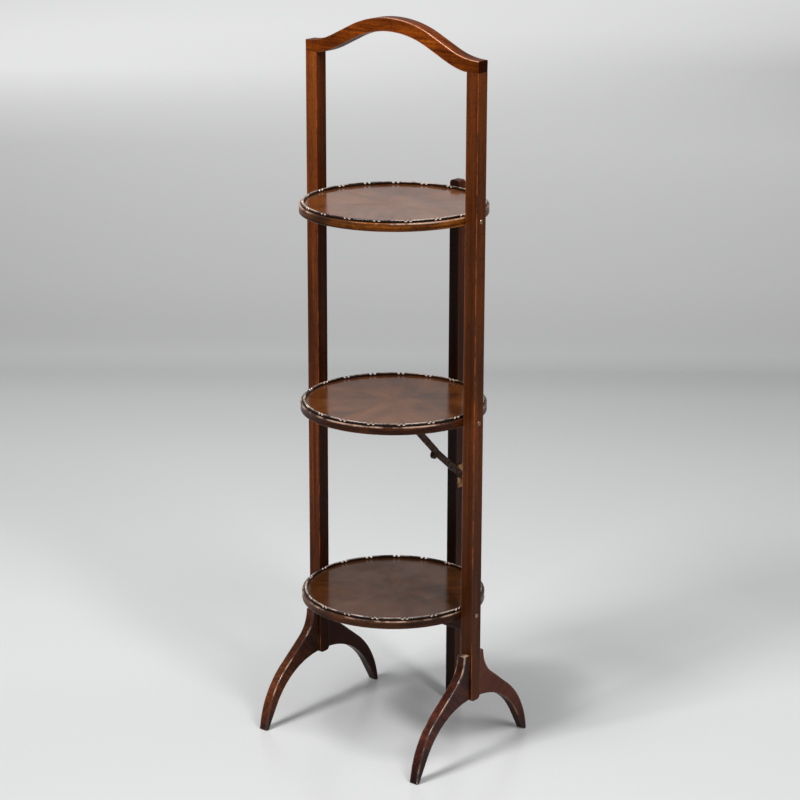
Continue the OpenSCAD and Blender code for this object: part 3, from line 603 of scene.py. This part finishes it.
def make_lip(tray, rim, first, material):
    """The raised lip: a round-topped strip whose height follows the scoops."""
    outside, thick, tall, high = 0.1165, 0.003, LIP_TALL, 0.0024
    a = np.linspace(0, math.pi, 11)
    crest = np.stack([outside - thick / 2 * (1 - np.cos(a)), high * (np.sin(a) - 1) / 2], axis=1)
    profile = np.vstack([[[outside, -tall], [outside, -high]], crest,
                         [[outside - thick, -high], [outside - thick, -tall]]])
    n = 1800
    depth = lip_depth(np.linspace(0, 2 * math.pi, n, endpoint=False), first)
    rings = turned(profile, n)
    rings[:, :, 2] = rim - tall + (profile[:, 1, None] + tall) * (1 - depth / tall)
    k = len(profile)
    # Painted highlight and shade: wear paints the crest's top and the scoops' edges pale, as glints,
    # and painted shade darkens the walls and the crest's flanks
    top = np.concatenate([[0.2, 0.3], 0.62 + 0.5 * np.sin(a), [0.1, 0]])
    wear = (top[:, None] + np.clip(depth * 400, 0, 0.3)).ravel()
    shade = np.repeat(np.concatenate([[1.0, 1.0], 0.7 - 0.6 * np.sin(a), [0.6, 0.6]]), n)
    mesh_piece(f"{tray}_gallery", rings, ring_quads(k, n, True), [], [wear, shade], material,
               f"{tray}_tray", [f"{tray}_lip"], "mahogany")


def coat_nodes(material, *nodes):
    """Gives CAD nodes that keep their shape a material."""
    for name in nodes:
        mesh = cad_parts[name].data
        mesh.materials.clear()
        mesh.materials.append(material)


# ---- The stand

# Wood that shows where the polish is rubbed off
WORN = tone(160, 104, 66)


def post_woods():
    """The two uprights' woods, the left one redder and a little lighter. Both are painted lighter
    towards the top, as if better lit there, and their pale arris lines are rubbed wear and painted
    highlights.
    """
    edge_wear_and_highlight = tone(156, 72, 24)
    return {"left": wood("left_upright_mahogany", "z", tone(38, 15, 5), tone(82, 38, 14),
                         tone(140, 70, 24), edge_wear_and_highlight, gloss=0.15, rough=0.34, specular=0.08,
                         fleck=0.5, painted_light=("Z", 0.60, 0.80, 0.1)),
            "right": wood("right_upright_mahogany", "z", tone(40, 17, 5), tone(77, 38, 14),
                          tone(122, 60, 20), edge_wear_and_highlight, gloss=0.25, rough=0.34, specular=0.08,
                          fleck=0.5, rub_and_highlight_level=0.44, seed=21.0, painted_light=("Z", 0.60, 0.86, 0.09))}


def arch_wood():
    """The arch rail's lighter, more figured wood. Its pale edge colour paints the highlight along its
    arris, with rubbed wear.
    """
    return wood("arch_mahogany", "x", tone(58, 22, 6), tone(120, 55, 12), tone(196, 102, 18),
                tone(214, 142, 100), gloss=0.8, figure=1.0, seed=3.1, specular=0.02, mottle=75,
                fleck=0.6, rub_and_highlight_level=0.4)


def leg_woods():
    """The legs' woods. A leg's grain leans at 48 degrees, and the front legs' arrises are pale: rubbed
    wear, and a painted highlight.
    """
    fronts = {"left": [tone(30, 12, 5), tone(76, 38, 21), tone(138, 72, 36)],
              "right": [tone(30, 10, 6), tone(74, 36, 25), tone(128, 62, 42)]}
    woods = {f"{side}_front": wood(f"{side}_front_leg_mahogany", -48, *tones,
                                   tone(206, 168, 138), gloss=1.0, rough=0.34, figure=1.2,
                                   seed=5.7, specular=0.12, mottle=60, fleck=0.6, rub_and_highlight_level=0.49)
             for side, tones in fronts.items()}
    woods["rear"] = wood("rear_leg_mahogany", 48, tone(64, 30, 20), tone(90, 45, 30),
                         tone(112, 57, 37), WORN, rough=0.36, figure=0.3, seed=8.3)
    return woods


def band_woods():
    """The edge bands' woods. The top band is the lightest. Their pale edge colour paints the highlight
    along the bead, with rubbed wear.
    """
    tones = {"bottom": [tone(28, 15, 8), tone(66, 38, 22), tone(128, 70, 34)],
             "middle": [tone(26, 13, 6), tone(60, 31, 16), tone(124, 64, 26)],
             "top": [tone(26, 13, 6), tone(96, 48, 12), tone(200, 116, 26)]}
    return {tray: wood(f"{tray}_band_mahogany", "round", *tones[tray], tone(190, 156, 134),
                       gloss=0.3, rough=0.32, figure=1.1, seed=2.2 + i, mottle=90, fleck=0.5,
                       rub_and_highlight_level=0.46)
            for i, tray in enumerate(TRAYS)}


def veneer(tray, seed, painted_light_share):
    """A tray floor's veneer, whose tones have this share of the full brightness: painted shade that
    darkens the lower trays, which get less light.
    """
    full = (71, 36, 16), (109, 61, 28), (131, 78, 39)
    tones = [tone(r * painted_light_share, g * painted_light_share, b * painted_light_share) for r, g, b in full]
    return veneer_top(f"{tray}_veneer_leaves", *tones, seed)


def make_frame():
    """The posts, arch rail, legs, rear bar and stretcher."""
    make_uprights(post_woods())
    make_arch(arch_wood())
    make_legs(leg_woods())
    make_rear_bar(wood("bar_mahogany", "z", tone(24, 9, 5), tone(58, 29, 15), tone(88, 43, 22),
                       WORN, gloss=0.15, rough=0.36, seed=12.9, rub_and_highlight_level=0.66))
    make_stretcher(wood("stretcher_mahogany", "x", tone(26, 11, 7), tone(60, 32, 23),
                        tone(96, 50, 32), WORN, gloss=0.3, rough=0.4, seed=15.1))


def make_trays(under, brass):
    """The trays' bands, lips and floors, and the woods and metals of what lies under them."""
    bands = band_woods()
    # The lip's pale edge colour paints the glints along its crest
    lip = wood("lip_mahogany", "round", tone(20, 10, 6), tone(52, 28, 18), tone(90, 52, 36),
               tone(190, 168, 152), gloss=1.0, rough=0.25, figure=0.6, seed=6.6, rub_and_highlight_level=0.42)
    pin = metal("brown_brass", tone(176, 146, 118), tone(92, 68, 50), 0.36)
    first_cluster = {"bottom": 13.8, "middle": 11.2, "top": 14.9}
    # Painted shade: the lower trays' floors are painted darker, as less light reaches them
    painted_light_share = {"bottom": 0.72, "middle": 0.97, "top": 1.0}
    for i, tray in enumerate(TRAYS):
        rim = float(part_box(tray + "_lip")[1][2])
        make_band(tray, rim, bands[tray])
        make_lip(tray, rim, first_cluster[tray], lip)
        coat_nodes(veneer(tray, 1.3 + 2.1 * i, painted_light_share[tray]), tray + "_veneer")
        coat_nodes(under, tray + "_board", tray + "_bearer")
        coat_nodes(pin, tray + "_pivot_screws")
        coat_nodes(brass, tray + "_bearer_screws")


def make_stand():
    """All that the photograph shows, and the materials of what it hides."""
    under = wood("underside_mahogany", "y", tone(20, 9, 5), tone(46, 23, 13), tone(70, 36, 19),
                 WORN, gloss=0.0, rough=0.5, seed=4.4)
    brass = metal("aged_brass", tone(172, 134, 92), tone(94, 69, 44))
    bronze = metal("dark_bronze", tone(73, 54, 42), tone(36, 26, 21), 0.42)
    make_frame()
    make_trays(under, brass)
    coat_nodes(under, "arch_dowels", "leg_dowels")
    coat_nodes(brass, "stretcher_screws", "bar_pivot_screws", "stay_plate", "stay_plate_screws",
               "bar_rivet", "stay_bracket", "stay_bracket_screws", "bracket_rivet")
    coat_nodes(bronze, "lower_link", "upper_link", "lower_knuckle_rivet", "upper_knuckle_rivet")


# ---- The studio

# How far behind the stand the studio's floor turns up into its wall
BEND = 1.72


def sheet_grid():
    """The backdrop's grid: a level floor that turns up through a quarter circle into a wall.

    Returns the points (m, n, 3), and how far each lies ahead of the stand, as the camera looks,
    and to its right, and the run and rise along the sheet (m)."""
    ahead, right = np.array([-0.6263, 0.7796]), np.array([0.7796, 0.6263])
    start, r, top, half, across, up = -4.2, 0.25, 5.0, 5, 120, 60
    a = np.linspace(0, math.pi / 2, 10)[1:]
    floor, wall = np.linspace(start, BEND, across), np.linspace(r, top, up + 1)[1:]
    run = np.concatenate([floor, BEND + r * np.sin(a), np.full(up, BEND + r)])
    rise = np.concatenate([np.zeros(across), r * (1 - np.cos(a)), wall])
    s, t = np.meshgrid(run, np.linspace(-half, half, 81), indexing="ij")
    h = np.broadcast_to(rise[:, None], s.shape)
    points = np.stack([s * ahead[0] + t * right[0], s * ahead[1] + t * right[1], h], axis=2)
    return points, s, t, run, rise


def sheet_greys(s, t, run, rise):
    """The floor's grey, lit by the lamps, and the light that the sheet sends out by itself: the wall's
    grey and a faint painted light on the floor's left rear. Both are linear, (m, n)."""
    floor = np.interp(run, [-4.2, -0.2, 0.2, 0.5, 0.84, 1.16, 1.53, 1.76],
                      [220, 222, 233, 231, 232, 233, 226, 210])
    wall = np.interp(rise, [0, 0.13, 0.3, 0.46, 0.58, 0.68, 0.72, 0.88, 1.0, 1.08, 1.18, 1.4, 5],
                     [172, 183, 190, 199, 218, 226, 226, 110, 130, 170, 218, 225, 205])
    floor, wall = [((grey / 255) ** 2.2)[:, None] for grey in (floor, wall)]
    to_wall = np.clip((run - BEND) / 0.16, 0, 1)[:, None]
    to_wall = to_wall * to_wall * (3 - 2 * to_wall)
    brighter_right = 1 + 0.06 * np.clip(t, -1.2, 1.2)
    slope = np.interp(rise, [0.42, 0.56, 0.6, 0.68], [0, 0.25, 0.25, 0.03])[:, None]
    darker_sides = 1 - 0.13 * np.clip(t, -1.5, 1.5) ** 2 - slope * np.clip(t, -1, 1)
    painted_floor_light = 0.05 * np.clip((s - 0.08) / 0.35, 0, 1) * np.clip(0.7 - t * 1.1, 0, 1)
    return (floor * (1 - to_wall) * brighter_right,
            wall * to_wall * darker_sides + painted_floor_light * (1 - to_wall))


def make_backdrop():
    """One sheet behind and under the stand. The floor is lit by the lamps and keeps the shadow,
    and the wall shows its own grey to the camera and to polished parts."""
    points, s, t, run, rise = sheet_grid()
    m, n = s.shape
    i, j = [v.ravel() for v in np.meshgrid(np.arange(m - 1), np.arange(n - 1), indexing="ij")]
    quads = np.stack([i * n + j, i * n + j + 1, (i + 1) * n + j + 1, (i + 1) * n + j], axis=1)
    mesh = bpy.data.meshes.new("studio_sheet")
    mesh.from_pydata(points.reshape(-1, 3).tolist(), [], quads.tolist())
    for key, value in zip(("lit", "own"), sheet_greys(s, t, run, rise)):
        layer = mesh.attributes.new(key, "FLOAT", "POINT")
        layer.data.foreach_set("value", value.astype(np.float32).ravel())
    mesh.polygons.foreach_set("use_smooth", np.ones(len(mesh.polygons), bool))
    sheet = bpy.data.objects.new("studio_sheet", mesh)
    bpy.context.scene.collection.objects.link(sheet)
    mesh.materials.append(studio_paper())


def studio_paper():
    """Grey paper whose lit part is its colour and whose own part shows as light to the camera,
    to gloss and through glass. It is clear from its back, so that it hides nothing from there."""
    m, s, surface = new_material("studio_paper", Specular_IOR_Level=0.4,
                                 Emission_Strength=1.0)
    lit, own = [s.node("Attribute", {"attribute_name": k}, {}, out=2) for k in ("lit", "own")]
    seen = [s.node("LightPath", {}, {}, out=k)
            for k in ("Is Camera Ray", "Is Glossy Ray", "Is Transmission Ray")]
    own = own * (seen[0] + seen[1] + seen[2])
    colour, light = [s.node("CombineColor", {}, {0: v, 1: v * 1.004, 2: v * 1.004})
                     for v in (lit, own)]
    s.tree.links.new(light.link, surface.inputs["Emission Color"])
    finish_material(s, surface, colour, lit.between(0.1, 0.4, 1.0, 0.22))
    back, clear = s.node("NewGeometry", {}, {}, out="Backfacing"), s.node("BsdfTransparent")
    sheet = s.node("MixShader", {}, {0: back, 1: Socket(s.tree, surface.outputs[0]), 2: clear})
    s.tree.links.new(sheet.link, s.tree.nodes["Material Output"].inputs["Surface"])
    return m


def add_lamp(name, place, aim, width, tall, power):
    """A soft box at place that looks at aim."""
    data = bpy.data.lights.new(name, "AREA")
    data.shape, data.size, data.size_y, data.energy = "RECTANGLE", width, tall, power
    lamp = bpy.data.objects.new(name, data)
    lamp.location = place
    lamp.rotation_euler = (Vector(aim) - Vector(place)).to_track_quat("-Z", "Y").to_euler()
    bpy.context.scene.collection.objects.link(lamp)


def make_lights():
    """A key light from the front left, a soft one overhead for the trays' shadows, and two from
    the right, in pale grey air."""
    add_lamp("key_box", (-0.42, -2.3, 2.85), (0, 0, 0.4), 0.8, 0.8, 70)
    add_lamp("top_box", (-0.1, -0.6, 2.9), (0, 0, 0.4), 0.6, 0.6, 17)
    add_lamp("side_strip", (1.5, -0.52, 2.15), (0, 0, 0.4), 0.25, 1.2, 22)
    add_lamp("side_box", (2.6, 0.2, 1.7), (0, 0, 0.5), 1.8, 1.8, 6)
    world = bpy.data.worlds.new("studio_air")
    world.use_nodes = True
    world.node_tree.nodes["Background"].inputs["Color"].default_value = tone(236, 238, 240)
    world.node_tree.nodes["Background"].inputs["Strength"].default_value = 0.32
    bpy.context.scene.world = world


def make_camera():
    """Stands right of the front and looks a little down, as the photograph was taken."""
    lens, film, roll = 113.06, 36.0, 0.16
    data = bpy.data.cameras.new("view")
    data.lens, data.sensor_width = lens, film
    camera = bpy.data.objects.new("view", data)
    place, aim = Vector((1.9756, -2.3932, 1.3914)), Vector((0.0260, -0.0268, 0.4687))
    turn = (aim - place).to_track_quat("-Z", "Y").to_matrix()
    turn = turn @ Matrix.Rotation(math.radians(roll), 3, "Z")
    camera.matrix_world = Matrix.Translation(place) @ turn.to_4x4()
    bpy.context.scene.collection.objects.link(camera)
    bpy.context.scene.camera = camera


make_stand()
make_backdrop()
make_lights()
make_camera()
bpy.context.scene.view_settings.view_transform = "Standard"
